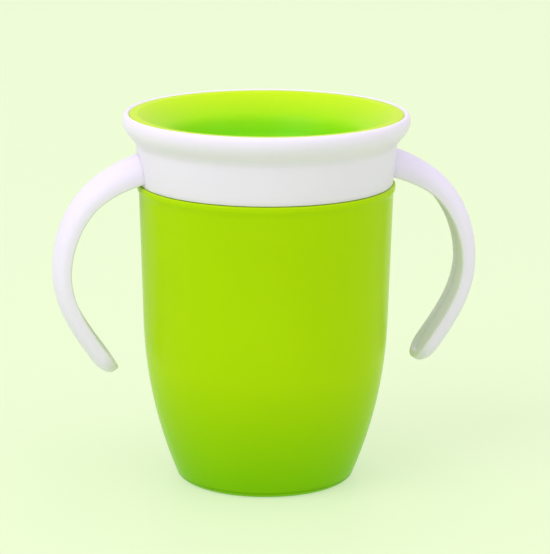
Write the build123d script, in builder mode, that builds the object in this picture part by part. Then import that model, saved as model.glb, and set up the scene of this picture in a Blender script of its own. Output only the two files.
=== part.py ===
from build123d import *
import os
from math import atan2, cos, pi, radians, sin, tan

# A toddler's spill-proof training cup. The cup body is closed by a screw collar whose flared lip
# is the drinking edge. Inside the collar a slotted carrier holds a soft dish-shaped valve, which
# seals against the lip all round. A flat gasket seals the collar to the cup's rim, and two open
# handles stand on the collar.
# All sizes are in millimetres. The origin is the centre of the base, +Z is up, and the handles
# lie along X.

os.makedirs("parts", exist_ok=True)

# --- Overall sizes ---
cup_height = 91.2             # floor to the shoulder that the collar stands over
mouth_radius = 35.0           # outside of the cup's neck, at the root of its thread

# --- Screw thread, the same helix on the neck and in the collar ---
thread_starts = 2
thread_lead = 8.0             # rise of the collar in one turn
thread_depth = 1.3
thread_base_width = 2.5
thread_crest_width = 1.3
thread_root_bite = 0.3        # how far a rib's foot reaches into its wall
thread_end_margin = 1.9       # from the shoulder up to the lower flank of each rib's lower end
thread_top_margin = 1.0       # from the upper flank of its upper end up to the rim
thread_radial_gap = 0.35      # from a rib's crest to the wall that it faces

# --- Collar with the drinking lip ---
collar_gap = 0.15             # between the shoulder and the collar's lower edge
collar_wall = 1.35            # at its lower edge
collar_draft = 1.0            # how much wider the waist is than the lower edge
collar_edge_rounding = 0.25
waist_above_rim = 1.6         # from the cup's rim up to where the flare starts
lip_rise = 9.7                # from the waist up to the lip's top
lip_overhang = 4.0            # how far the lip stands out past the waist
flare_rise = 3.3              # a point on the flare, up from the waist
flare_overhang = 2.0
lip_thickness = 2.0
lip_outer_rounding = 2.2      # height of the rounded top's outer part
lip_inner_rounding = 0.8
seat_drop = 1.2               # from the lip's top down to the shelf under the valve's edge
seat_width = 0.9
channel_drop = 5.1            # from the lip's top down to where the drink channel slopes inwards
web_thickness = 1.2
web_shoulder = 0.35           # from the skirt's inside out to the foot of the channel's slope

# --- Cup body ---
shoulder_step = 0.15          # how far the body stands out past the collar's lower edge
bead_proud = 0.6              # raised line just under the collar
bead_height = 1.5
bead_slope = 1.4              # height over which it runs out into the wall below
bead_rounding = 0.45
belly_height = 50.0           # where the curved lower wall runs into the straight upper wall
belly_inset = 1.15            # how much narrower the body is there than under the bead
base_inset = 11.95            # the same where the wall would meet the floor
base_corner_radius = 3.0
body_wall = 2.2
base_thickness = 2.2
foot_width = 4.7              # ring that the cup stands on, to the unrounded corner
foot_recess = 1.2             # depth of the hollow under the base
cavity_corner_radius = 7.0
neck_wall = 1.6
neck_height = 9.8
neck_taper = 9.0              # height of the inside cone that leads from the body to the neck
rim_rounding = 0.3

# --- Gasket ---
gasket_thickness = 1.2
gasket_side_gap = 0.35        # from the gasket to the collar's wall
gasket_inset = 0.4            # from the neck's inside to the gasket's

# --- Carrier for the valve ---
carrier_flange_thickness = 1.0
carrier_flange_gap = 0.4      # from the flange to the channel's sloping wall
carrier_dish_gap = 0.8        # from the carrier's dish to the web's inner edge
carrier_dish_taper = 2.0      # how much narrower the dish is at its floor
carrier_depth = 8.0           # from the web's top down to the top of the carrier's floor
carrier_wall = 1.2
hub_radius = 7.0
hub_height = 1.2              # of the hub above the carrier's floor
slot_count = 12
slot_width = 6.0
slot_length = 10.0
slot_reach = 1.2              # how far a slot runs out past the dish's lower edge

# --- Valve ---
valve_edge_gap = 0.2          # from the valve's edge to the lip's inside
valve_edge_thickness = 1.0
valve_edge_width = 2.2        # flat top of the edge, before the dish turns down
valve_edge_rounding = 1.6
valve_wall = 1.2
valve_channel_gap = 0.7       # from the dish to the carrier's inside
valve_throat_drop = 6.3       # from the lip's top down to where the flare meets the steep wall
valve_floor_taper = 2.4       # how much narrower the floor is than the throat
valve_throat_rounding = 6.0
valve_floor_rounding = 5.0
stem_radius = 2.5
bulb_radius = 3.1
bulb_length = 2.6
bulb_tip_radius = 1.4
bulb_tip_height = 1.6
hub_hole_gap = 0.1            # from the bulb to the hole that it is pulled through
hub_clearance = 0.3           # from the hub's underside to the bulb

# --- Handles ---
# The middle line of a handle is given as distance out from the collar and drop below the root
handle_root_rise = 5.25       # from the collar's lower edge up to the middle of the root
handle_root_slope = 20.0      # degrees below level
handle_bend_out = 15.7
handle_bend_drop = 9.4
handle_reach_out = 23.2       # where the handle is widest
handle_reach_drop = 34.6
handle_tip_out = 12.5         # middle of the rounded tip
handle_tip_drop = 56.9
handle_tip_slope = 35.0       # degrees from vertical
handle_width = 13.6           # along Y
handle_root_thickness = 8.4
handle_bend_thickness = 6.3
handle_bend_share = 0.3       # how far along the middle line it has come down to that
handle_tip_thickness = 5.4
handle_side_height = 1.8      # straight side of the section, next to the inner face
handle_edge_rounding = 0.6
groove_depth = 0.9            # shallow channel along the inner face
groove_rim = 1.9              # rim on each side of that channel
groove_slope = 0.8
root_overlap = 3.0            # how far the middle line starts inside the collar before trimming
peg_length = 6.0              # weld peg at the root, along Y
peg_height = 3.0
peg_depth = 0.9
peg_gap = 0.1

# --- Heights that follow from the sizes above ---
rim_height = cup_height + neck_height
thread_bottom = cup_height + thread_end_margin + thread_base_width / 2
thread_top = rim_height - thread_top_margin - thread_base_width / 2
thread_turns = (thread_top - thread_bottom) / thread_lead
collar_bottom = cup_height + collar_gap
web_bottom = rim_height + gasket_thickness
web_top = web_bottom + web_thickness
waist_height = rim_height + waist_above_rim
lip_top = waist_height + lip_rise
seat_height = lip_top - seat_drop
channel_height = lip_top - channel_drop
carrier_floor_top = web_top - carrier_depth
carrier_floor_bottom = carrier_floor_top - carrier_wall
hub_top = carrier_floor_top + hub_height
handle_root_height = collar_bottom + handle_root_rise

# --- Radii that follow from the sizes above ---
neck_inner_radius = mouth_radius - neck_wall
collar_inner_radius = mouth_radius + thread_depth + thread_radial_gap
collar_bottom_radius = collar_inner_radius + collar_wall
waist_radius = collar_bottom_radius + collar_draft
lip_radius = waist_radius + lip_overhang
lip_inner_radius = lip_radius - lip_thickness
seat_inner_radius = lip_inner_radius - seat_width
web_inner_radius = neck_inner_radius + gasket_inset
channel_foot_radius = collar_inner_radius + web_shoulder
body_top_radius = collar_bottom_radius + shoulder_step
bead_radius = body_top_radius + bead_proud
belly_radius = body_top_radius - belly_inset
base_radius = body_top_radius - base_inset
foot_inner_radius = base_radius - foot_width
carrier_dish_radius = web_inner_radius - carrier_dish_gap
carrier_floor_radius = carrier_dish_radius - carrier_dish_taper
hub_hole_radius = bulb_radius + hub_hole_gap


def finish(piece, name):
    piece.part.label = name
    export_step(piece.part, "parts/" + name + ".step")


def collar_radius_at(height):
    # Outside of the collar's conical skirt
    slope = collar_draft / (waist_height - collar_bottom)
    return collar_bottom_radius + slope * (height - collar_bottom)


def thread_rib(wall_radius, crest_radius):
    # One helical rib of trapezoid section, from the wall at wall_radius to its crest
    towards_crest = 1 if crest_radius > wall_radius else -1
    with BuildPart() as rib:
        with BuildLine() as path:
            Helix(thread_lead, thread_lead * thread_turns, wall_radius, center=(0, 0, thread_bottom))
        section_plane = Plane(path.line @ 0, x_dir=(towards_crest, 0, 0), z_dir=path.line % 0)
        with BuildSketch(section_plane):
            with BuildLine():
                Polyline(
                    (-thread_root_bite, -thread_base_width / 2),
                    (0, -thread_base_width / 2),
                    (thread_depth, -thread_crest_width / 2),
                    (thread_depth, thread_crest_width / 2),
                    (0, thread_base_width / 2),
                    (-thread_root_bite, thread_base_width / 2),
                    close=True,
                )
            make_face()
        sweep(path=path.line, is_frenet=True)
    return rib.part


# Cup body: one moulding with a curved lower wall, a beaded shoulder and a threaded neck
neck_rib = thread_rib(mouth_radius, mouth_radius + thread_depth)
bead_bottom = cup_height - bead_height
wall_top = bead_bottom - bead_slope
floor_height = foot_recess + base_thickness
with BuildPart() as cup_body:
    with BuildSketch(Plane.XZ):
        with BuildLine():
            upper_wall = Line((belly_radius, belly_height), (body_top_radius, wall_top))
            TangentArc(upper_wall @ 0, (base_radius, 0), tangent=(upper_wall % 0) * -1)
            Polyline(
                (base_radius, 0),
                (foot_inner_radius, 0),
                (foot_inner_radius - foot_recess, foot_recess),
                (0, foot_recess),
                (0, rim_height),
                (mouth_radius, rim_height),
                (mouth_radius, cup_height),
                (bead_radius, cup_height),
                (bead_radius, bead_bottom),
                upper_wall @ 1,
            )
        make_face()
    revolve(axis=Axis.Z)
    round_edges = cup_body.edges().filter_by(GeomType.CIRCLE)
    fillet(round_edges.group_by(Axis.Z)[0].sort_by(SortBy.RADIUS)[-1], base_corner_radius)
    bead_edges = cup_body.edges().filter_by(GeomType.CIRCLE)
    fillet(bead_edges.sort_by(SortBy.RADIUS)[-2:], bead_rounding)
    with BuildSketch(Plane.XZ):
        with BuildLine():
            inner_wall = Line(
                (belly_radius - body_wall, belly_height),
                (body_top_radius - body_wall, cup_height - neck_taper),
            )
            cavity_foot = (base_radius - body_wall, floor_height)
            TangentArc(inner_wall @ 0, cavity_foot, tangent=(inner_wall % 0) * -1)
            Polyline(
                inner_wall @ 1,
                (neck_inner_radius, cup_height),
                (neck_inner_radius, rim_height),
                (0, rim_height),
                (0, floor_height),
                cavity_foot,
            )
        make_face()
        fillet(vertices().sort_by_distance(cavity_foot)[0], cavity_corner_radius)
    revolve(axis=Axis.Z, mode=Mode.SUBTRACT)
    rim_edges = cup_body.edges().filter_by(GeomType.CIRCLE).group_by(Axis.Z)[-1]
    fillet(rim_edges.sort_by(SortBy.RADIUS)[-1], rim_rounding)
    with PolarLocations(0, thread_starts):
        add(neck_rib)
finish(cup_body, "cup_body")

# Collar: skirt with the inside thread, flared drinking lip, shelf for the valve's edge and the web
# that presses on the gasket
collar_rib = thread_rib(collar_inner_radius, collar_inner_radius - thread_depth)
peg_end_radius = collar_radius_at(handle_root_height) - peg_depth
with BuildPart() as lid_collar:
    with BuildSketch(Plane.XZ):
        with BuildLine():
            skirt = Polyline(
                (collar_inner_radius, web_bottom),
                (collar_inner_radius, collar_bottom),
                (collar_bottom_radius, collar_bottom),
                (waist_radius, waist_height),
            )
            lip_side_height = lip_top - lip_outer_rounding
            Spline(
                (waist_radius, waist_height),
                (waist_radius + flare_overhang, waist_height + flare_rise),
                (lip_radius, lip_side_height),
                tangents=((collar_draft, waist_height - collar_bottom), (0, 1)),
            )
            crown_radius = lip_inner_radius + lip_inner_rounding
            EllipticalCenterArc(
                (crown_radius, lip_side_height),
                lip_radius - crown_radius,
                lip_outer_rounding,
                start_angle=0,
                arc_size=90,
            )
            CenterArc((crown_radius, lip_top - lip_inner_rounding), lip_inner_rounding, 90, 90)
            Polyline(
                (lip_inner_radius, lip_top - lip_inner_rounding),
                (lip_inner_radius, seat_height),
                (seat_inner_radius, seat_height),
                (seat_inner_radius, channel_height),
                (channel_foot_radius, web_top),
                (web_inner_radius, web_top),
                (web_inner_radius, web_bottom),
                (collar_inner_radius, web_bottom),
            )
        make_face()
    revolve(axis=Axis.Z)
    lower_edges = lid_collar.edges().filter_by(GeomType.CIRCLE).group_by(Axis.Z)[0]
    fillet(lower_edges.sort_by(SortBy.RADIUS)[-1], collar_edge_rounding)
    with PolarLocations(0, thread_starts, start_angle=180 / thread_starts):
        add(collar_rib)
    for side in (1, -1):
        with BuildSketch(Plane.YZ.offset(side * (peg_end_radius - peg_gap))):
            with Locations((0, handle_root_height)):
                Rectangle(peg_length + 2 * peg_gap, peg_height + 2 * peg_gap)
        extrude(amount=side * (peg_depth + lip_overhang), mode=Mode.SUBTRACT)
finish(lid_collar, "lid_collar")

# Gasket: flat soft ring between the cup's rim and the collar's web
with BuildPart() as lid_gasket:
    with BuildSketch(Plane.XY.offset(rim_height)):
        Circle(collar_inner_radius - gasket_side_gap)
        Circle(web_inner_radius, mode=Mode.SUBTRACT)
    extrude(amount=gasket_thickness)
finish(lid_gasket, "lid_gasket")

# Carrier: slotted dish welded on the collar's web, with a hub that holds the valve's stem
slot_middle = carrier_floor_radius + slot_reach - slot_length / 2
with BuildPart() as valve_carrier:
    with BuildSketch(Plane.XZ):
        with BuildLine():
            flange_top = web_top + carrier_flange_thickness
            Polyline(
                (channel_foot_radius - carrier_flange_gap, web_top),
                (channel_foot_radius - carrier_flange_gap, flange_top),
                (carrier_dish_radius - carrier_wall, flange_top),
                (carrier_floor_radius - carrier_wall, carrier_floor_top),
                (hub_radius, carrier_floor_top),
                (hub_radius, hub_top),
                (hub_hole_radius, hub_top),
                (hub_hole_radius, carrier_floor_bottom),
                (carrier_floor_radius, carrier_floor_bottom),
                (carrier_dish_radius, web_bottom),
                (carrier_dish_radius, web_top),
                close=True,
            )
        make_face()
    revolve(axis=Axis.Z)
    with BuildSketch(Plane.XY.offset(carrier_floor_bottom)):
        with PolarLocations(slot_middle, slot_count):
            SlotOverall(slot_length, slot_width)
    extrude(amount=web_bottom - carrier_floor_bottom, mode=Mode.SUBTRACT)
finish(valve_carrier, "valve_carrier")

# Valve: soft dish whose edge rests on the collar's shelf, with a stem that plugs into the hub
valve_edge_radius = lip_inner_radius - valve_edge_gap
valve_edge_top = seat_height + valve_edge_thickness
edge_inner_radius = valve_edge_radius - valve_edge_width
throat_height = lip_top - valve_throat_drop
throat_radius = carrier_dish_radius - carrier_wall - valve_channel_gap - valve_wall
valve_floor_top = hub_top + valve_wall
valve_floor_radius = throat_radius - valve_floor_taper
bulb_top = carrier_floor_bottom - hub_clearance
# Angles of the steep wall and of the flare above it, from vertical
wall_angle = atan2(valve_floor_taper, throat_height - valve_floor_top)
flare_angle = atan2(edge_inner_radius - throat_radius, valve_edge_top - throat_height)
# The outside follows the inside at the wall's thickness
floor_shift = valve_wall * tan(pi / 4 - wall_angle / 2)
throat_angle = (wall_angle + flare_angle) / 2
throat_shift = valve_wall / cos((flare_angle - wall_angle) / 2)
outer_throat_radius = throat_radius + throat_shift * cos(throat_angle)
outer_throat_height = throat_height - throat_shift * sin(throat_angle)
outer_edge_radius = outer_throat_radius + (seat_height - outer_throat_height) * tan(flare_angle)
with BuildPart() as drinking_valve:
    with BuildSketch(Plane.XZ):
        with BuildLine():
            FilletPolyline(
                (0, valve_floor_top),
                (valve_floor_radius, valve_floor_top),
                (throat_radius, throat_height),
                (edge_inner_radius, valve_edge_top),
                (valve_edge_radius, valve_edge_top),
                radius=(valve_floor_rounding, valve_throat_rounding, valve_edge_rounding),
            )
            Polyline(
                (valve_edge_radius, valve_edge_top),
                (valve_edge_radius, seat_height),
                (outer_edge_radius, seat_height),
            )
            FilletPolyline(
                (outer_edge_radius, seat_height),
                (outer_throat_radius, outer_throat_height),
                (valve_floor_radius + floor_shift, hub_top),
                (stem_radius, hub_top),
                radius=(valve_throat_rounding - valve_wall, valve_floor_rounding + valve_wall),
            )
            Polyline(
                (stem_radius, hub_top),
                (stem_radius, bulb_top),
                (bulb_radius, bulb_top),
                (bulb_radius, bulb_top - bulb_length + bulb_tip_height),
                (bulb_tip_radius, bulb_top - bulb_length),
                (0, bulb_top - bulb_length),
                (0, valve_floor_top),
            )
        make_face()
    revolve(axis=Axis.Z)
finish(drinking_valve, "drinking_valve")

root_radius = collar_radius_at(handle_root_height)
root_start_height = handle_root_height + root_overlap * tan(radians(handle_root_slope))
root_direction = (cos(radians(handle_root_slope)), -sin(radians(handle_root_slope)))
tip_direction = (-sin(radians(handle_tip_slope)), -cos(radians(handle_tip_slope)))


def half_section(thickness):
    # Half of a handle's section: domed outside, shallow channel along the inner face
    inner_face = -thickness / 2
    dome_base = inner_face + handle_side_height
    with BuildSketch() as half:
        with BuildLine():
            Polyline(
                (0, thickness / 2),
                (0, inner_face + groove_depth),
                (groove_rim + groove_slope - handle_width / 2, inner_face + groove_depth),
                (groove_rim - handle_width / 2, inner_face),
                (-handle_width / 2, inner_face),
                (-handle_width / 2, dome_base),
            )
            EllipticalCenterArc(
                (0, dome_base),
                handle_width / 2,
                thickness - handle_side_height,
                start_angle=90,
                arc_size=90,
            )
        make_face()
        fillet(vertices().group_by(Axis.Y)[0], handle_edge_rounding)
    return half.sketch


def full_section(thickness):
    with BuildSketch() as full:
        add(half_section(thickness))
        mirror(about=Plane.YZ)
    return full.sketch


# Handles: D-shaped section that thins from the root to the tip, swept down an open curve, closed by
# a rounded tip and trimmed to the collar's skirt
with BuildLine(Plane.XZ) as middle_line:
    Line((root_radius - root_overlap, root_start_height), (root_radius, handle_root_height))
    Spline(
        (root_radius, handle_root_height),
        (root_radius + handle_bend_out, handle_root_height - handle_bend_drop),
        (root_radius + handle_reach_out, handle_root_height - handle_reach_drop),
        (root_radius + handle_tip_out, handle_root_height - handle_tip_drop),
        tangents=(root_direction, tip_direction),
    )
path = middle_line.wire()
root_plane = Plane(path @ 0, x_dir=(0, 1, 0), z_dir=path % 0)
bend_plane = Plane(
    path @ handle_bend_share,
    x_dir=(0, 1, 0),
    z_dir=path % handle_bend_share,
)
tip_plane = Plane(path @ 1, x_dir=(0, 1, 0), z_dir=path % 1)
sections = [
    root_plane * full_section(handle_root_thickness),
    bend_plane * full_section(handle_bend_thickness),
    tip_plane * full_section(handle_tip_thickness),
]
tip_half = tip_plane * half_section(handle_tip_thickness)
with BuildPart() as right_handle:
    sweep(sections=sections, path=path, multisection=True)
    revolve(tip_half, axis=Axis(tip_plane.origin, tip_plane.y_dir), revolution_arc=180)
    with BuildSketch(Plane.XZ):
        with BuildLine():
            Polyline(
                (0, collar_bottom),
                (collar_radius_at(collar_bottom), collar_bottom),
                (collar_radius_at(lip_top), lip_top),
                (0, lip_top),
                close=True,
            )
        make_face()
    revolve(axis=Axis.Z, mode=Mode.SUBTRACT)
    with BuildSketch(Plane.YZ.offset(peg_end_radius)):
        with Locations((0, handle_root_height)):
            Rectangle(peg_length, peg_height)
    extrude(amount=peg_depth + root_overlap)
finish(right_handle, "right_handle")

with BuildPart() as left_handle:
    mirror(right_handle.part, about=Plane.YZ)
finish(left_handle, "left_handle")
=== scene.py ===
from itertools import accumulate
from math import ceil, cos, pi, radians, sin, tan, tau

import bmesh
import bpy
import numpy as np
from bpy.props import FloatProperty, FloatVectorProperty, IntProperty, PointerProperty
from mathutils import Matrix, Vector


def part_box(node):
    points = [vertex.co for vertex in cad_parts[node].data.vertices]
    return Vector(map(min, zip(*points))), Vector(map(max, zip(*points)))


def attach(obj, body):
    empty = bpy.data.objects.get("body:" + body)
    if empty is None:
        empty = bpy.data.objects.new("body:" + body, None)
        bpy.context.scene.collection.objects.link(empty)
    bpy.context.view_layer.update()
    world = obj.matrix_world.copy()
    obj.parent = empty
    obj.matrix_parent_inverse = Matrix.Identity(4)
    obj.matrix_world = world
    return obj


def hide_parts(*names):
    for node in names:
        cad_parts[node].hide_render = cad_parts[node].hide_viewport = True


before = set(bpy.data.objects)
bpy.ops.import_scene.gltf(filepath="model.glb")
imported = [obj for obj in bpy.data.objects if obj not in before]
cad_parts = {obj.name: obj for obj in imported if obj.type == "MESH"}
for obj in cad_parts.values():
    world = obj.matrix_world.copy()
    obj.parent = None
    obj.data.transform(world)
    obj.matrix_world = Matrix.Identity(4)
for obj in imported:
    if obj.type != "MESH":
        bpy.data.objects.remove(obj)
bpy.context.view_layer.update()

bl_info = {
    "name": "Training Cup",
    "version": (1, 0, 0),
    "blender": (4, 5, 0),
    "location": "View3D > Sidebar > Training Cup",
    "description": "Builds a toddler's training cup around its packed frame",
    "category": "Add Mesh",
}

MM = 0.001
MERGE_DISTANCE = 0.002 * MM
SHARP_EDGE = radians(32)
Z_AXIS = (0, 0, 1)

# Roundings of small moulded edges
CRISP = 0.15 * MM
FINE = 0.2 * MM
SMALL = 0.3 * MM
SOFT = 0.4 * MM
ROUND = 0.5 * MM
BROAD = 0.6 * MM
# Roundings of the shallow bends in the cup's wall
BEAD_RUN_OUT = 3 * MM
NECK_BEND = 3 * MM
TAPER_BEND = 6 * MM
# The lower bends of the wall stop a little short, to leave room for the rounding at the foot
WALL_BEND_SHARE = 0.94
CAVITY_BEND_SHARE = 0.76

# Patterns in the materials
FLOW_MARKS = 28 * MM
FLOW_TONE = 0.03
FLOW_ROUGHNESS = 0.03
TABLE_CLOUDS = 90 * MM
TABLE_TONE = 0.99

# Lamps, as offsets from the middle of the cup in metres
KEY_OFFSET = (-1.0, -0.7, 1.2)
FILL_OFFSET = (1.2, -0.9, 0.8)
LAMP_WIDTH = 1.3


def linear(hex_colour):
    """Linear RGB of an sRGB hex value."""
    channels = [int(hex_colour[i : i + 2], 16) / 255 for i in (0, 2, 4)]
    return tuple(c / 12.92 if c <= 0.04045 else ((c + 0.055) / 1.055) ** 2.4 for c in channels)


def length(name, default, description):
    """A length property. Its default is given in millimetres."""
    return FloatProperty(
        name=name, description=description, default=default * MM, precision=5, unit="LENGTH"
    )


def angle(name, default, description):
    """An angle property. Its default is given in degrees."""
    return FloatProperty(
        name=name, description=description, default=radians(default), unit="ROTATION"
    )


def power(name, default, description):
    """The power of a lamp in watts."""
    return FloatProperty(name=name, description=description, default=default, unit="POWER")


def share(name, default, description):
    """A number that is 0 at least and usually no more than 1."""
    return FloatProperty(name=name, description=description, default=default, min=0, soft_max=1)


def colour(name, default, description):
    """A colour property. Its default is an sRGB hex value."""
    return FloatVectorProperty(
        name=name, description=description, default=linear(default), subtype="COLOR"
    )


# Corners of the pieces' boxes in the frame, in metres
BODY_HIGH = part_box("cup_body")[1]
COLLAR_LOW, COLLAR_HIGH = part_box("lid_collar")
VALVE_LOW, VALVE_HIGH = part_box("drinking_valve")
HANDLE_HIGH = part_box("right_handle")[1]


class ThreadSizes(bpy.types.PropertyGroup):
    """The screw thread, which is the same helix on the neck and in the collar"""

    starts: IntProperty(name="Starts", description="Number of ribs", default=2, min=1)
    lead: length("Lead", 8.0, "Rise of the collar in one turn")
    turns: FloatProperty(name="Turns", description="Length of each rib, in turns", default=0.55)
    depth: length("Depth", 1.3, "From a rib's wall to its crest")
    base: length("Base width", 2.5, "Width of a rib at its wall")
    crest: length("Crest width", 1.3, "Width of a rib at its crest")
    bite: length("Bite", 0.3, "How far a rib's foot reaches into its wall")
    margin: length("Margin", 1.9, "From the shoulder up to a rib's lower end")


class BodySizes(bpy.types.PropertyGroup):
    """The cup body"""

    bead_proud: length("Bead", 0.6, "How far the bead under the collar stands out")
    bead_height: length("Bead height", 1.5, "Height of that bead")
    bead_slope: length("Bead slope", 1.4, "Height over which it runs out into the wall below")
    bead_rounding: length("Bead rounding", 0.45, "Rounding of the bead's edges")
    belly_height: length("Belly height", 50.0, "Where the curved lower wall starts")
    belly_inset: length("Belly inset", 1.15, "How much narrower the body is there")
    base_inset: length("Base inset", 11.95, "How much narrower the body is at its base")
    corner: length("Base corner", 3.0, "Rounding of the base's edge")
    wall: length("Wall", 2.2, "Thickness of the wall")
    floor: length("Floor", 2.2, "Thickness of the floor")
    foot: length("Foot ring", 4.7, "Width of the ring that the cup stands on")
    recess: length("Recess", 1.2, "Depth of the hollow under the base")
    cavity_corner: length("Cavity corner", 7.0, "Rounding inside, at the floor")
    neck_height: length("Neck height", 9.8, "From the shoulder up to the rim")
    neck_radius: length("Neck radius", 35.0, "Outside of the neck")
    neck_wall: length("Neck wall", 1.6, "Thickness of the neck")
    neck_taper: length("Neck taper", 9.0, "Height of the cone that leads to the neck inside")
    rim_rounding: length("Rim rounding", 0.3, "Rounding of the rim's outer edge")


class CollarSizes(bpy.types.PropertyGroup):
    """The screw collar with the drinking lip"""

    bore: length("Bore", 36.65, "Inside radius of the skirt")
    skirt_radius: length("Skirt radius", 38.0, "Outside radius at the lower edge")
    waist_radius: length("Waist radius", 39.0, "Outside radius where the flare starts")
    lip_rise: length("Lip rise", 9.7, "From the waist up to the lip's top")
    flare_rise: length("Flare rise", 3.3, "A point on the flare, up from the waist")
    flare_out: length("Flare overhang", 2.0, "The same point, out from the waist")
    lip_wall: length("Lip thickness", 2.0, "Thickness of the drinking lip")
    outer_rounding: length("Outer rounding", 2.2, "Height of the lip's rounded outer part")
    inner_rounding: length("Inner rounding", 0.8, "Rounding of the lip's inner edge")
    seat_drop: length("Seat drop", 1.2, "From the lip's top down to the valve's shelf")
    seat_width: length("Seat width", 0.9, "Width of that shelf")
    channel_drop: length("Channel drop", 5.1, "From the lip's top down to the sloping channel")
    web: length("Web", 1.2, "Thickness of the web that presses on the gasket")
    web_shoulder: length("Web shoulder", 0.35, "From the bore out to the channel's foot")
    web_radius: length("Web radius", 33.8, "Inside radius of the web")
    gasket: length("Gasket", 1.2, "Thickness of the gasket under the web")
    edge_rounding: length("Edge rounding", 0.25, "Rounding of the skirt's lower edge")


class ValveSizes(bpy.types.PropertyGroup):
    """The soft drinking valve"""

    edge: length("Edge thickness", 1.0, "Thickness of the rim that rests on the shelf")
    seal: length("Seal", 0.17, "How far the soft rim spreads towards the lip")
    edge_width: length("Edge width", 2.37, "Flat top of the rim")
    edge_rounding: length("Edge rounding", 1.6, "Rounding where the rim turns down")
    wall: length("Wall", 1.2, "Thickness of the dish")
    throat_drop: length("Throat drop", 6.1, "From the valve's top down to the steep wall")
    throat_radius: length("Throat radius", 29.9, "Radius where the steep wall starts")
    throat_rounding: length("Throat rounding", 6.0, "Rounding at the throat")
    floor_radius: length("Floor radius", 27.5, "Radius of the dish's floor")
    floor_height: length("Floor height", 97.8, "Top of the dish's floor, above the table")
    floor_rounding: length("Floor rounding", 5.0, "Rounding round the floor")
    stem: length("Stem radius", 2.5, "Radius of the stem under the floor")
    bulb: length("Bulb radius", 3.1, "Radius of the bulb that plugs into the hub")
    bulb_length: length("Bulb length", 2.6, "Length of that bulb")
    bulb_tip: length("Bulb tip radius", 1.4, "Radius of the bulb's tip")
    bulb_tip_height: length("Bulb tip height", 1.6, "Height of the bulb's tapered tip")


class HandleSizes(bpy.types.PropertyGroup):
    """The two handles. The middle line is given as distance out from the collar and drop"""

    root_height: length("Root height", 96.6, "Middle of the root, above the table")
    root_slope: angle("Root slope", 20.0, "Slope of the middle line at the root")
    bend_out: length("Bend out", 15.7, "The bend, out from the collar")
    bend_drop: length("Bend drop", 9.4, "The bend, down from the root")
    reach_out: length("Reach out", 23.3, "The widest point, out from the collar")
    reach_drop: length("Reach drop", 34.6, "The widest point, down from the root")
    tip_out: length("Tip out", 12.5, "The tip's middle, out from the collar")
    tip_drop: length("Tip drop", 56.9, "The tip's middle, down from the root")
    tip_slope: angle("Tip slope", 35.0, "Slope of the tip from vertical")
    root_thickness: length("Root thickness", 8.1, "Thickness at the collar")
    bend_thickness: length("Bend thickness", 6.3, "Thickness at the bend")
    reach_thickness: length("Reach thickness", 5.15, "Thickness at the widest point")
    tip_thickness: length("Tip thickness", 5.4, "Thickness at the tip")
    side: length("Side", 1.8, "Straight side of the section, next to the inner face")
    edge_rounding: length("Edge rounding", 0.6, "Rounding of the inner face's edges")
    groove: length("Groove depth", 0.9, "Depth of the channel along the inner face")
    groove_rim: length("Groove rim", 1.9, "Rim on each side of that channel")
    groove_slope: length("Groove slope", 0.8, "Width of the channel's sloping sides")
    weld: length("Weld", 0.7, "How deep the root is sunk into the collar")


class Finishes(bpy.types.PropertyGroup):
    """Colours and surface of the plastics"""

    cup_green: colour("Cup green", "AAD300", "Moulded polypropylene of the cup")
    # Painted shade: the cup's green turns darker and greener towards the base
    cup_green_shaded_base: colour("Cup green at the base", "70BB00", "The same at the thick base")
    valve_green: colour("Valve green", "C8EC00", "Silicone of the valve, at its edge")
    # Painted shade: the valve's green turns darker and greener down in the dish
    valve_green_shaded_dish: colour("Valve green in the dish", "84DA00", "The same in the dish")
    white: colour("White", "E9E3F8", "Moulded polypropylene of the collar and handles")
    # Painted shade: the white turns a little darker towards the handles' tips
    white_shaded_tips: colour("White at the tips", "E4DFF2", "The same at the handles' tips")
    clear: colour("Clear silicone", "E6E8E2", "Silicone of the gasket")
    floor: colour("Floor", "95A184", "Pale floor")
    floor_glow: colour("Floor glow", "EDFED4", "Light that comes up through the floor")
    glow: share("Glow", 0.57, "How much of that light there is")
    gloss_roughness: share("Plastic roughness", 0.24, "Roughness of the moulded plastic")
    silicone_roughness: share("Silicone roughness", 0.38, "Roughness of the silicone")


class StageSizes(bpy.types.PropertyGroup):
    """Camera, lights and floor"""

    distance: length("Camera distance", 889.7, "From the middle of the cup to the camera")
    azimuth: angle("Camera azimuth", 10.0, "How far the camera stands round to the left")
    elevation: angle("Camera elevation", 13.23, "How far the camera looks down")
    roll: angle("Camera roll", 0.3, "Tilt of the picture")
    aim_height: length("Aim height", 61.8, "Height that the camera looks at")
    aim_side: length("Aim side", 2.78, "How far right of the cup's axis the camera looks")
    lens: FloatProperty(name="Lens", description="Focal length in mm", default=191.3)
    floor_size: length("Floor size", 8000.0, "Side of the floor")
    key_power: power("Key", 10.0, "Power of the key light")
    fill_power: power("Fill", 2.0, "Power of the fill light")
    light: colour("Light", "FFFAFF", "Colour of the lamps and the studio's walls")
    walls: share("Walls", 0.68, "Brightness of the studio's walls")
    ceiling: share("Ceiling", 1.15, "Brightness of its ceiling")


class TrainingCup(bpy.types.PropertyGroup):
    """Everything that can be changed about the cup"""

    thread: PointerProperty(type=ThreadSizes)
    body: PointerProperty(type=BodySizes)
    collar: PointerProperty(type=CollarSizes)
    valve: PointerProperty(type=ValveSizes)
    handle: PointerProperty(type=HandleSizes)
    finish: PointerProperty(type=Finishes)
    stage: PointerProperty(type=StageSizes)


# --- Outlines, as points of (radius, height) ---


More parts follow.
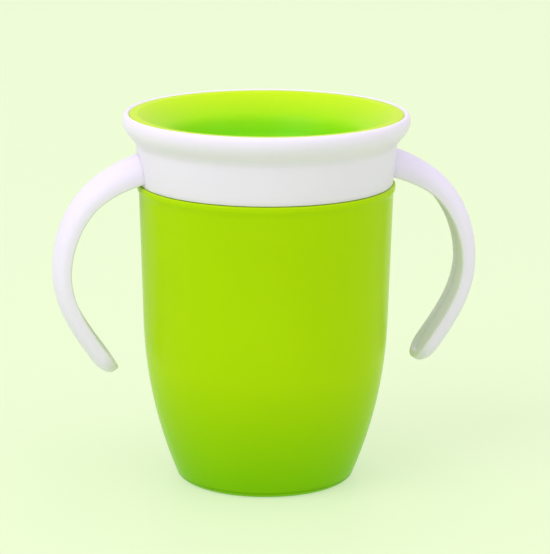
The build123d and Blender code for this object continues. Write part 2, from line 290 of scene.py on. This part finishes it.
def rounded(corners, longest_step=3 * MM, widest_turn=radians(12)):
    """Points of an outline from (radius, height) or (radius, height, rounding) corners."""
    spots = [Vector(c[:2]) for c in corners]
    points = []
    for i, corner in enumerate(corners):
        rounding = corner[2] if len(corner) > 2 else 0
        if not rounding:
            points.append(spots[i])
            continue
        back = (spots[i - 1] - spots[i]).normalized()
        ahead = (spots[i + 1] - spots[i]).normalized()
        turn = pi - back.angle(ahead)
        start = spots[i] + back * rounding * tan(turn / 2)
        centre = spots[i] + (back + ahead).normalized() * (rounding / cos(turn / 2))
        side = 1 if back.cross(ahead) < 0 else -1
        count = max(2, ceil(turn / min(widest_turn, longest_step / rounding)))
        for k in range(count + 1):
            points.append(centre + Matrix.Rotation(side * turn * k / count, 2) @ (start - centre))
    return points


def smooth_curve(points, start, end, count):
    """A curve with no sudden bend through the points, which leaves and arrives along start and end.
    Returns count + 1 pairs of a point and the direction there."""
    spots = [Vector(p) for p in points]
    spans = [(b - a).length for a, b in zip(spots, spots[1:])]
    inner = len(spots) - 2
    # At its ends the curve is as fast as the simplest polynomial through the points
    places = list(accumulate(spans, initial=0))
    simple = [np.poly1d(np.polyfit(places, row, inner + 1)).deriv() for row in zip(*spots)]
    speeds = [float(np.hypot(*[row(place) for row in simple])) for place in (0, places[-1])]
    slopes = [Vector(start).normalized() * speeds[0]] + [None] * inner
    slopes.append(Vector(end).normalized() * speeds[1])
    system = np.zeros((inner, inner))
    target = np.zeros((inner, 2))
    for i in range(inner):
        before, after = spans[i], spans[i + 1]
        system[i, i] = 2 * (before + after)
        first_step, second_step = spots[i + 1] - spots[i], spots[i + 2] - spots[i + 1]
        target[i] = 3 * (after / before * first_step + before / after * second_step)
        for j, weight in ((i - 1, after), (i + 1, before)):
            if 0 <= j < inner:
                system[i, j] = weight
            else:
                target[i] -= weight * np.array(slopes[0] if j < 0 else slopes[-1])
    for i, slope in enumerate(np.linalg.solve(system, target)):
        slopes[i + 1] = Vector(slope)
    curve = []
    for k in range(count + 1):
        i, before = 0, sum(spans) * k / count
        while before > spans[i] and i < inner:
            before -= spans[i]
            i += 1
        h = spans[i]
        t = before / h
        a, b, m, n = spots[i], spots[i + 1], slopes[i] * h, slopes[i + 1] * h
        spot = (2 * t**3 - 3 * t**2 + 1) * a + (t**3 - 2 * t**2 + t) * m
        spot += (3 * t**2 - 2 * t**3) * b + (t**3 - t**2) * n
        along = (6 * t**2 - 6 * t) * (a - b) + (3 * t**2 - 4 * t + 1) * m + (3 * t**2 - 2 * t) * n
        curve.append((spot, along.normalized()))
    return curve


def quarter_round(centre, first, last, count=10):
    """A quarter of an ellipse round the centre, from centre + first to centre + last."""
    steps = [pi / 2 * k / count for k in range(count + 1)]
    return [Vector(centre) + Vector(first) * cos(a) + Vector(last) * sin(a) for a in steps]


def tangent_corner(start, along, end):
    """The corner whose rounding leaves start in the direction along and reaches end."""
    chord = Vector(end) - Vector(start)
    direction = Vector(along).normalized()
    run = chord.length_squared / (2 * chord.dot(direction))
    corner = Vector(start) + direction * run
    turn = direction.angle(Vector(end) - corner)
    return corner, run / tan(turn / 2)


# --- Meshes ---


def add_line(bm, points, closed=False):
    """Vertices and edges of a line of (x, z) points in the XZ plane."""
    verts = [bm.verts.new((p[0], 0, p[1])) for p in points]
    ends = verts[1:] + verts[:1] if closed else verts[1:]
    return verts, [bm.edges.new(pair) for pair in zip(verts, ends)]


def spin_full(bm, points, closed=False, steps=192):
    """Spins an outline once round the cup's axis."""
    verts, edges = add_line(bm, points, closed)
    bmesh.ops.spin(
        bm, geom=verts + edges, cent=(0, 0, 0), axis=Z_AXIS, angle=tau, steps=steps, use_merge=True
    )


def add_rib(bm, thread, wall_radius, outwards, foot_height, start_turn, steps_per_turn=96):
    """One rib of the thread: its section is spun up the helix and its ends run out to the wall."""
    half_base, half_crest = thread.base / 2, thread.crest / 2
    section = [
        (wall_radius - outwards * thread.bite, foot_height - half_base),
        (wall_radius, foot_height - half_base),
        (wall_radius + outwards * thread.depth, foot_height - half_crest),
        (wall_radius + outwards * thread.depth, foot_height + half_crest),
        (wall_radius, foot_height + half_base),
        (wall_radius - outwards * thread.bite, foot_height + half_base),
    ]
    verts, edges = add_line(bm, section, closed=True)
    bmesh.ops.rotate(bm, verts=verts, cent=(0, 0, 0), matrix=Matrix.Rotation(start_turn, 3, "Z"))
    steps = round(steps_per_turn * thread.turns)
    spun = bmesh.ops.spin(
        bm,
        geom=verts + edges,
        cent=(0, 0, 0),
        axis=Z_AXIS,
        dvec=(0, 0, thread.lead * thread.turns / steps),
        angle=tau * thread.turns,
        steps=steps,
    )
    last = [e for e in spun["geom_last"] if isinstance(e, bmesh.types.BMEdge)]
    for end in (edges, last):
        cap = bmesh.ops.contextual_create(bm, geom=end)["faces"]
        bmesh.ops.bevel(
            bm,
            geom=[e for e in cap[0].edges if not is_foot(e, wall_radius, thread.bite * outwards)],
            offset=thread.depth / 3,
            affect="EDGES",
            segments=3,
            profile=0.5,
            material=-1,
        )


def is_foot(edge, wall_radius, bite):
    """Whether an edge touches the foot, which lies inside the wall that a rib grows from."""
    return any(abs(v.co.xy.length - (wall_radius - bite)) < MERGE_DISTANCE for v in edge.verts)


def finish_piece(bm, name, material, body, slot, *replaced):
    """Closes a mesh's seams and poles, turns its faces outwards and puts it on its body."""
    bmesh.ops.remove_doubles(bm, verts=bm.verts, dist=MERGE_DISTANCE)
    bmesh.ops.recalc_face_normals(bm, faces=bm.faces)
    mesh = bpy.data.meshes.new(name)
    bm.to_mesh(mesh)
    bm.free()
    mesh.shade_smooth()
    mesh.set_sharp_from_angle(angle=SHARP_EDGE)
    mesh.materials.append(material)
    piece = bpy.data.objects.new(name, mesh)
    bpy.context.scene.collection.objects.link(piece)
    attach(piece, body)
    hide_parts(*replaced)
    return piece


# --- Materials ---


def add_node(tree, kind, inputs=None, **settings):
    """Adds a node with its settings, and sets or links its inputs."""
    node = tree.nodes.new(kind)
    for name, value in settings.items():
        setattr(node, name, value)
    for name, value in (inputs or {}).items():
        if isinstance(value, bpy.types.NodeSocket):
            tree.links.new(value, node.inputs[name])
        else:
            node.inputs[name].default_value = value
    return node


def new_material(name):
    """An empty material with its output, and the object's own coordinates."""
    material = bpy.data.materials.new(name)
    material.use_nodes = True
    tree = material.node_tree
    tree.nodes.clear()
    output = add_node(tree, "ShaderNodeOutputMaterial")
    place = add_node(tree, "ShaderNodeTexCoord").outputs["Object"]
    return material, tree, output, place


def moulded(name, low, high, span, roughness, ior, gloss, scatter, reach, radius, grain, depth):
    """A moulded plastic or rubber: painted shade darkens its colour from high to low over a span of
    heights, with slight flow marks in the colour and the roughness, a faint skin of orange peel of
    this grain and depth from the mould, and some light let through, which reaches a few
    millimetres."""
    material, tree, output, place = new_material(name)
    height = add_node(tree, "ShaderNodeSeparateXYZ", {"Vector": place}).outputs["Z"]
    rise = add_node(
        tree,
        "ShaderNodeMapRange",
        {"Value": height, "From Min": span[0] * MM, "From Max": span[1] * MM},
    ).outputs["Result"]
    # Painted shade: the colour goes from the lit colour high up to the shaded colour low down
    pigment_and_shade = mix_colours(tree, rise, (*low, 1), (*high, 1))
    flow = add_node(
        tree, "ShaderNodeTexNoise", {"Vector": place, "Scale": 1 / FLOW_MARKS, "Detail": 2.0}
    ).outputs["Fac"]
    darker, lighter = [(1 + change,) * 3 + (1,) for change in (-FLOW_TONE, FLOW_TONE)]
    marks = mix_colours(tree, flow, darker, lighter)
    tone = mix_colours(tree, 1.0, pigment_and_shade, marks, blend_type="MULTIPLY")
    rough = add_node(
        tree,
        "ShaderNodeMapRange",
        {
            "Value": flow,
            "To Min": roughness - FLOW_ROUGHNESS,
            "To Max": roughness + FLOW_ROUGHNESS,
        },
    ).outputs["Result"]
    peel = add_node(
        tree, "ShaderNodeTexNoise", {"Vector": place, "Scale": 1 / (grain * MM), "Detail": 1.0}
    ).outputs["Fac"]
    skin = add_node(
        tree, "ShaderNodeBump", {"Height": peel, "Distance": depth * MM, "Strength": 1.0}
    ).outputs["Normal"]
    shader = add_node(
        tree,
        "ShaderNodeBsdfPrincipled",
        {
            "Base Color": tone,
            "Roughness": rough,
            "Normal": skin,
            "IOR": ior,
            "Specular IOR Level": gloss,
            "Subsurface Weight": scatter,
            "Subsurface Radius": radius,
            "Subsurface Scale": reach * MM,
        },
    )
    tree.links.new(shader.outputs["BSDF"], output.inputs["Surface"])
    return material


def mix_colours(tree, factor, first, second, **settings):
    """The colour between two colours, or their product."""
    mixer = add_node(tree, "ShaderNodeMix", {"Factor": factor}, data_type="RGBA", **settings)
    for name, value in (("A", first), ("B", second)):
        socket = next(i for i in mixer.inputs if i.name == name and i.type == "RGBA")
        if isinstance(value, bpy.types.NodeSocket):
            tree.links.new(value, socket)
        else:
            socket.default_value = value
    return next(o for o in mixer.outputs if o.type == "RGBA")


def cup_polypropylene(finish):
    # Injection-moulded polypropylene, pigmented: a soft satin gloss that shows at the edges, and a
    # body colour that light goes a little way into; painted shade darkens it towards the base
    return moulded(
        "Moulded green polypropylene",
        finish.cup_green_shaded_base,
        finish.cup_green,
        span=(-6, 38),
        roughness=finish.gloss_roughness,
        ior=1.49,
        gloss=0.06,
        scatter=0.3,
        reach=3,
        radius=(1.0, 1.0, 0.1),
        grain=1.4,
        depth=0.006,
    )


def white_polypropylene(finish):
    # The same moulding in opaque white: bright, with wide soft highlights, and painted shade that
    # darkens it a little towards the handles' tips
    return moulded(
        "Moulded white polypropylene",
        finish.white_shaded_tips,
        finish.white,
        span=(35, 95),
        roughness=finish.gloss_roughness + 0.16,
        ior=1.49,
        gloss=0.2,
        scatter=0.4,
        reach=3,
        radius=(1.0, 1.0, 1.0),
        grain=1.4,
        depth=0.006,
    )


def valve_silicone(finish):
    # Compression-moulded silicone: softer gloss than the cup, more light let through, and painted
    # shade that makes it darker and greener down in the dish than at its thin edge
    return moulded(
        "Moulded green silicone",
        finish.valve_green_shaded_dish,
        finish.valve_green,
        span=(101.5, 113.5),
        roughness=finish.silicone_roughness,
        ior=1.41,
        gloss=0.2,
        scatter=0.5,
        reach=3,
        radius=(1.0, 1.0, 0.2),
        grain=0.9,
        depth=0.008,
    )


def gasket_silicone(finish):
    # Clear silicone, milky in the thickness of a gasket
    return moulded(
        "Clear silicone",
        finish.clear,
        finish.clear,
        span=(90, 110),
        roughness=finish.silicone_roughness,
        ior=1.41,
        gloss=0.5,
        scatter=0.6,
        reach=3,
        radius=(1.0, 1.0, 1.0),
        grain=0.9,
        depth=0.006,
    )


def light_table(finish):
    # A matt, translucent acrylic sheet lit from below: pale and even, with weak soft shadows
    material, tree, output, place = new_material("Lit acrylic table")
    cloud = add_node(
        tree, "ShaderNodeTexNoise", {"Vector": place, "Scale": 1 / TABLE_CLOUDS, "Detail": 3.0}
    ).outputs["Fac"]
    dull = [channel * TABLE_TONE for channel in finish.floor]
    tone = mix_colours(tree, cloud, (*dull, 1), (*finish.floor, 1))
    shader = add_node(
        tree,
        "ShaderNodeBsdfPrincipled",
        {
            "Base Color": tone,
            "Roughness": 0.5,
            "IOR": 1.2,
            "Emission Color": (*finish.floor_glow, 1),
            "Emission Strength": finish.glow,
        },
    )
    tree.links.new(shader.outputs["BSDF"], output.inputs["Surface"])
    return material


MATERIAL_MAKERS = {
    "green_polypropylene": cup_polypropylene,
    "white_polypropylene": white_polypropylene,
    "green_silicone": valve_silicone,
    "clear_silicone": gasket_silicone,
}
made_materials = {}


def material_for(slot, finish):
    """The material of one of the record's slots, made when it is first needed."""
    if slot not in made_materials:
        made_materials[slot] = MATERIAL_MAKERS[slot](finish)
    return made_materials[slot]


# --- Operators ---


class CUP_OT_body(bpy.types.Operator):
    """Make the cup body with its neck thread"""

    bl_idname = "training_cup.body"
    bl_label = "Cup Body"

    def execute(self, context):
        cup = context.scene.training_cup
        size = cup.body
        rim = BODY_HIGH.z
        shoulder = rim - size.neck_height
        bead_radius = BODY_HIGH.x
        bead_foot = shoulder - size.bead_height
        wall_top = bead_foot - size.bead_slope
        top_radius = bead_radius - size.bead_proud
        belly = Vector((top_radius - size.belly_inset, size.belly_height))
        base_radius = top_radius - size.base_inset
        neck_inside = size.neck_radius - size.neck_wall
        down = belly - Vector((top_radius, wall_top))
        bend, bend_radius = tangent_corner(belly, down, (base_radius, 0))
        foot_inside = base_radius - size.foot
        cavity_floor = size.recess + size.floor
        inner_belly = Vector((belly.x - size.wall, belly.y))
        inner_top = Vector((top_radius - size.wall, shoulder - size.neck_taper))
        inner_foot = (base_radius - size.wall, cavity_floor)
        inner_bend, inner_radius = tangent_corner(inner_belly, inner_belly - inner_top, inner_foot)
        outside = [
            (0, size.recess),
            (foot_inside - size.recess, size.recess, ROUND),
            (foot_inside, 0, SOFT),
            (base_radius, 0, size.corner),
            (bend.x, bend.y, bend_radius * WALL_BEND_SHARE),
            (top_radius, wall_top, BEAD_RUN_OUT),
            (bead_radius, bead_foot, 2 * size.bead_rounding),
            (bead_radius, shoulder, size.bead_rounding),
            (size.neck_radius, shoulder, SOFT),
            (size.neck_radius, rim, size.rim_rounding),
        ]
        inside = [
            (neck_inside, rim, size.rim_rounding),
            (neck_inside, shoulder, NECK_BEND),
            (inner_top.x, inner_top.y, TAPER_BEND),
            (inner_bend.x, inner_bend.y, inner_radius * CAVITY_BEND_SHARE),
            (*inner_foot, size.cavity_corner),
            (0, cavity_floor),
        ]
        bm = bmesh.new()
        spin_full(bm, rounded(outside + inside))
        foot_height = shoulder + cup.thread.margin + cup.thread.base / 2
        for k in range(cup.thread.starts):
            start = tau * k / cup.thread.starts
            add_rib(bm, cup.thread, size.neck_radius, 1, foot_height, start)
        material = material_for("green_polypropylene", cup.finish)
        finish_piece(bm, "cup_moulding", material, "cup", "green_polypropylene", "cup_body")
        return {"FINISHED"}


class CUP_OT_collar(bpy.types.Operator):
    """Make the screw collar with the drinking lip and its inside thread"""

    bl_idname = "training_cup.collar"
    bl_label = "Screw Collar"

    def execute(self, context):
        cup = context.scene.training_cup
        size = cup.collar
        top = COLLAR_HIGH.z
        lower = COLLAR_LOW.z
        lip_radius = COLLAR_HIGH.x
        waist = top - size.lip_rise
        lip_inside = lip_radius - size.lip_wall
        seat_inside = lip_inside - size.seat_width
        web_low = BODY_HIGH.z + size.gasket
        web_top = web_low + size.web
        crown = lip_inside + size.inner_rounding
        side_height = top - size.outer_rounding
        skirt = [
            (size.bore, web_low),
            (size.bore, lower, SMALL),
            (size.skirt_radius, lower, size.edge_rounding),
            (size.waist_radius, waist),
        ]
        flare = smooth_curve(
            [
                (size.waist_radius, waist),
                (size.waist_radius + size.flare_out, waist + size.flare_rise),
                (lip_radius, side_height),
            ],
            (size.waist_radius - size.skirt_radius, waist - lower),
            (0, 1),
            20,
        )
        lip_outer = quarter_round(
            (crown, side_height), (lip_radius - crown, 0), (0, size.outer_rounding)
        )
        lip_inner = quarter_round(
            (crown, top - size.inner_rounding), (0, size.inner_rounding), (-size.inner_rounding, 0)
        )
        inside = [
            (lip_inside, top - size.seat_drop, CRISP),
            (seat_inside, top - size.seat_drop, FINE),
            (seat_inside, top - size.channel_drop, BROAD),
            (size.bore + size.web_shoulder, web_top, SOFT),
            (size.web_radius, web_top, SMALL),
            (size.web_radius, web_low, SMALL),
        ]
        ends = [(lip_inside, top - size.inner_rounding), (size.bore, web_low)]
        outline = rounded(skirt)
        outline += [spot for spot, _ in flare[1:]]
        outline += lip_outer[1:] + lip_inner[1:-1]
        outline += rounded(ends[:1] + inside + ends[1:])[:-1]
        bm = bmesh.new()
        spin_full(bm, outline, closed=True)
        shoulder = BODY_HIGH.z - cup.body.neck_height
        foot_height = shoulder + cup.thread.margin + cup.thread.base / 2
        for k in range(cup.thread.starts):
            start = tau * (k + 0.5) / cup.thread.starts
            add_rib(bm, cup.thread, size.bore, -1, foot_height, start)
        material = material_for("white_polypropylene", cup.finish)
        finish_piece(bm, "collar_moulding", material, "lid", "white_polypropylene", "lid_collar")
        return {"FINISHED"}


class CUP_OT_valve(bpy.types.Operator):
    """Make the soft drinking valve with its stem"""

    bl_idname = "training_cup.valve"
    bl_label = "Drinking Valve"

    def execute(self, context):
        cup = context.scene.training_cup
        size = cup.valve
        edge_radius, top = VALVE_HIGH.x + size.seal, VALVE_HIGH.z
        bulb_low = VALVE_LOW.z
        throat = Vector((size.throat_radius, top - size.throat_drop))
        floor = Vector((size.floor_radius, size.floor_height))
        edge = Vector((edge_radius - size.edge_width, top))
        up_wall = (throat - floor).normalized()
        up_flare = (edge - throat).normalized()
        # The underside follows the top at the wall's thickness
        middle = (up_wall + up_flare).normalized()
        throat_shift = size.wall / cos(up_wall.angle(up_flare) / 2)
        under_throat = throat + Vector((middle.y, -middle.x)) * throat_shift
        seat = top - size.edge
        under_edge_radius = under_throat.x + (seat - under_throat.y) * up_flare.x / up_flare.y
        floor_turn = up_wall.angle(Vector((1, 0)))
        under_floor = Vector((floor.x + size.wall * tan(floor_turn / 2), floor.y - size.wall))
        bulb_top = bulb_low + size.bulb_length
        outline = [
            (0, floor.y),
            (*floor, size.floor_rounding),
            (*throat, size.throat_rounding),
            (*edge, size.edge_rounding),
            (edge_radius, top, FINE),
            (edge_radius, seat, SMALL),
            (under_edge_radius, seat, SMALL),
            (*under_throat, size.throat_rounding - size.wall),
            (*under_floor, size.floor_rounding + size.wall),
            (size.stem, under_floor.y, SMALL),
            (size.stem, bulb_top, FINE),
            (size.bulb, bulb_top, FINE),
            (size.bulb, bulb_low + size.bulb_tip_height, ROUND),
            (size.bulb_tip, bulb_low, SOFT),
            (0, bulb_low),
        ]
        bm = bmesh.new()
        spin_full(bm, rounded(outline))
        material = material_for("green_silicone", cup.finish)
        finish_piece(bm, "valve_moulding", material, "valve", "green_silicone", "drinking_valve")
        return {"FINISHED"}


class CUP_OT_handles(bpy.types.Operator):
    """Make the two handles that stand on the collar"""

    bl_idname = "training_cup.handles"
    bl_label = "Handles"

    def execute(self, context):
        cup = context.scene.training_cup
        material = material_for("white_polypropylene", cup.finish)
        for name, side in (("right_handle", 1), ("left_handle", -1)):
            bm = bmesh.new()
            self.add_grip(bm, cup)
            bmesh.ops.scale(bm, verts=bm.verts, vec=(side, 1, 1))
            finish_piece(bm, name + "_moulding", material, "lid", "white_polypropylene", name)
        return {"FINISHED"}

    def half_section(self, size, thickness):
        """Half of the section as (across, out) points: domed outside, shallow channel inside."""
        half_width = HANDLE_HIGH.y
        inner_face = -thickness / 2
        dome_base = inner_face + size.side
        groove_edge = half_width - size.groove_rim
        dome = quarter_round((0, dome_base), (0, thickness - size.side), (half_width, 0), 14)
        inner = [
            dome[-1],
            (half_width, inner_face, size.edge_rounding),
            (groove_edge, inner_face, size.edge_rounding),
            (groove_edge - size.groove_slope, inner_face + size.groove, SMALL),
            (0, inner_face + size.groove),
        ]
        return dome[:-1] + rounded(inner)

    def thickness_at(self, size, place, bend_share=0.27, reach_share=0.6):
        """The thickness falls from the root to the widest point and grows a little to the tip."""
        thicknesses = (size.root_thickness, size.bend_thickness)
        thicknesses += (size.reach_thickness, size.tip_thickness)
        return float(np.interp(place, (0, bend_share, reach_share, 1), thicknesses))

    def add_grip(self, bm, cup, steps=72):
        size = cup.handle
        collar = cup.collar
        waist = COLLAR_HIGH.z - collar.lip_rise
        skirt_share = (size.root_height - COLLAR_LOW.z) / (waist - COLLAR_LOW.z)
        draft = collar.waist_radius - collar.skirt_radius
        root_radius = collar.skirt_radius + skirt_share * draft
        drops = ((0, 0), (size.bend_out, size.bend_drop), (size.reach_out, size.reach_drop))
        drops += ((size.tip_out, size.tip_drop),)
        line = smooth_curve(
            [(root_radius + out, size.root_height - drop) for out, drop in drops],
            (cos(size.root_slope), -sin(size.root_slope)),
            (-sin(size.tip_slope), -cos(size.tip_slope)),
            steps,
        )
        edges = []
        for k, (spot, along) in enumerate(line):
            half = self.half_section(size, self.thickness_at(size, k / steps))
            ring = half + [Vector((-p.x, p.y)) for p in reversed(half[1:-1])]
            places = self.put_section(ring, spot, along)
            if k == 0:
                verts = [bm.verts.new(p) for p in places]
                edges = [bm.edges.new(pair) for pair in zip(verts, verts[1:] + verts[:1])]
                self.sink_root(verts, size, root_radius)
                bmesh.ops.contextual_create(bm, geom=edges)
                continue
            grown = bmesh.ops.extrude_edge_only(bm, edges=edges)["geom"]
            new_verts = [v for v in grown if isinstance(v, bmesh.types.BMVert)]
            verts = self.in_ring_order(verts, new_verts)
            for vert, place in zip(verts, places):
                vert.co = place
            new_edges = [e for e in grown if isinstance(e, bmesh.types.BMEdge)]
            edges = [e for e in new_edges if all(v in new_verts for v in e.verts)]
        spot, along = line[-1]
        tip = self.half_section(size, size.tip_thickness)
        verts = [bm.verts.new(p) for p in self.put_section(tip, spot, along)]
        bmesh.ops.spin(
            bm,
            geom=verts + [bm.edges.new(pair) for pair in zip(verts, verts[1:])],
            cent=(spot.x, 0, spot.y),
            axis=(-along.y, 0, along.x),
            angle=-pi,
            steps=20,
        )

    def put_section(self, section, spot, along):
        """A section's points in space, square to the middle line at one spot of it."""
        places = [(spot.x - along.y * p.y, p.x, spot.y + along.x * p.y) for p in section]
        return [Vector(place) for place in places]

    def sink_root(self, verts, size, root_radius):
        """Slides the root's points along the middle line until they are just inside the collar."""
        for vert in verts:
            depth = root_radius - size.weld
            reach = (depth**2 - vert.co.y**2) ** 0.5
            vert.co.z += (vert.co.x - reach) * tan(size.root_slope)
            vert.co.x = reach

    def in_ring_order(self, old, new):
        """The new vertices in the order of the ring that they were extruded from."""
        joined = {}
        for vert in new:
            for edge in vert.link_edges:
                other = edge.other_vert(vert)
                joined.setdefault(other, vert)
        return [joined[v] for v in old]


class CUP_OT_inner_parts(bpy.types.Operator):
    """Give the valve's carrier and the gasket their materials"""

    bl_idname = "training_cup.inner_parts"
    bl_label = "Carrier and Gasket"

    def execute(self, context):
        finish = context.scene.training_cup.finish
        slots = {"valve_carrier": "white_polypropylene", "lid_gasket": "clear_silicone"}
        for node, slot in slots.items():
            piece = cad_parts[node]
            piece.data.materials.clear()
            piece.data.materials.append(material_for(slot, finish))
        return {"FINISHED"}


class CUP_OT_stage(bpy.types.Operator):
    """Set up the floor, the lights and the camera"""

    bl_idname = "training_cup.stage"
    bl_label = "Stage"

    def execute(self, context):
        cup = context.scene.training_cup
        self.add_floor(context, cup)
        self.add_sky(context, cup.stage)
        middle = Vector((0, 0, COLLAR_HIGH.z / 2))
        self.add_light("Key", cup.stage, cup.stage.key_power, middle, Vector(KEY_OFFSET))
        self.add_light("Fill", cup.stage, cup.stage.fill_power, middle, Vector(FILL_OFFSET))
        self.add_camera(context, cup.stage)
        context.scene.view_settings.view_transform = "Standard"
        return {"FINISHED"}

    def add_floor(self, context, cup):
        bm = bmesh.new()
        bmesh.ops.create_grid(bm, x_segments=1, y_segments=1, size=cup.stage.floor_size / 2)
        mesh = bpy.data.meshes.new("Floor")
        bm.to_mesh(mesh)
        bm.free()
        mesh.materials.append(light_table(cup.finish))
        floor = bpy.data.objects.new("Floor", mesh)
        context.scene.collection.objects.link(floor)

    def add_sky(self, context, stage):
        world = bpy.data.worlds.new("Studio walls")
        world.use_nodes = True
        tree = world.node_tree
        tree.nodes.clear()
        facing = add_node(tree, "ShaderNodeTexCoord").outputs["Generated"]
        up = add_node(tree, "ShaderNodeSeparateXYZ", {"Vector": facing}).outputs["Z"]
        strength = add_node(
            tree,
            "ShaderNodeMapRange",
            {"Value": up, "To Min": stage.walls, "To Max": stage.ceiling},
        ).outputs["Result"]
        background = add_node(
            tree, "ShaderNodeBackground", {"Color": (*stage.light, 1), "Strength": strength}
        ).outputs["Background"]
        add_node(tree, "ShaderNodeOutputWorld", {"Surface": background})
        context.scene.world = world

    def add_light(self, name, stage, power, target, offset):
        light = bpy.data.lights.new(name, "AREA")
        light.shape = "DISK"
        light.color = stage.light
        light.energy = power
        light.size = LAMP_WIDTH
        lamp = bpy.data.objects.new(name, light)
        lamp.location = target + offset
        lamp.rotation_euler = (-offset).to_track_quat("-Z", "Y").to_euler()
        bpy.context.scene.collection.objects.link(lamp)

    def add_camera(self, context, stage):
        turn = Matrix.Rotation(-stage.azimuth, 3, "Z")
        forward = turn @ Vector((0, cos(stage.elevation), -sin(stage.elevation)))
        aim = turn @ Vector((stage.aim_side, 0, 0)) + Vector((0, 0, stage.aim_height))
        data = bpy.data.cameras.new("Camera")
        data.lens = stage.lens
        data.clip_end = 20
        camera = bpy.data.objects.new("Camera", data)
        camera.location = aim - forward * stage.distance
        facing = forward.to_track_quat("-Z", "Y").to_matrix()
        camera.rotation_euler = (facing @ Matrix.Rotation(stage.roll, 3, "Z")).to_euler()
        context.scene.collection.objects.link(camera)
        context.scene.camera = camera


OPERATORS = (
    CUP_OT_body,
    CUP_OT_collar,
    CUP_OT_valve,
    CUP_OT_handles,
    CUP_OT_inner_parts,
    CUP_OT_stage,
)


class CUP_PT_panel(bpy.types.Panel):
    """Lists the cup's pieces"""

    bl_idname = "CUP_PT_panel"
    bl_label = "Training Cup"
    bl_space_type = "VIEW_3D"
    bl_region_type = "UI"
    bl_category = "Training Cup"

    def draw(self, context):
        cup = context.scene.training_cup
        for operator in OPERATORS:
            self.layout.operator(operator.bl_idname)
        for name in cup.bl_rna.properties.keys():
            group = getattr(cup, name)
            if not isinstance(group, bpy.types.PropertyGroup):
                continue
            box = self.layout.box()
            box.label(text=group.bl_rna.name)
            for size in group.bl_rna.properties.keys():
                if size not in ("rna_type", "name"):
                    box.prop(group, size)


GROUPS = (
    ThreadSizes,
    BodySizes,
    CollarSizes,
    ValveSizes,
    HandleSizes,
    Finishes,
    StageSizes,
    TrainingCup,
)
CLASSES = (*GROUPS, *OPERATORS, CUP_PT_panel)


def register():
    for cls in CLASSES:
        bpy.utils.register_class(cls)
    bpy.types.Scene.training_cup = PointerProperty(type=TrainingCup)


def unregister():
    del bpy.types.Scene.training_cup
    for cls in reversed(CLASSES):
        bpy.utils.unregister_class(cls)


def main():
    register()
    bpy.ops.training_cup.body()
    bpy.ops.training_cup.collar()
    bpy.ops.training_cup.valve()
    bpy.ops.training_cup.handles()
    bpy.ops.training_cup.inner_parts()
    bpy.ops.training_cup.stage()


if __name__ == "__main__":
    main()
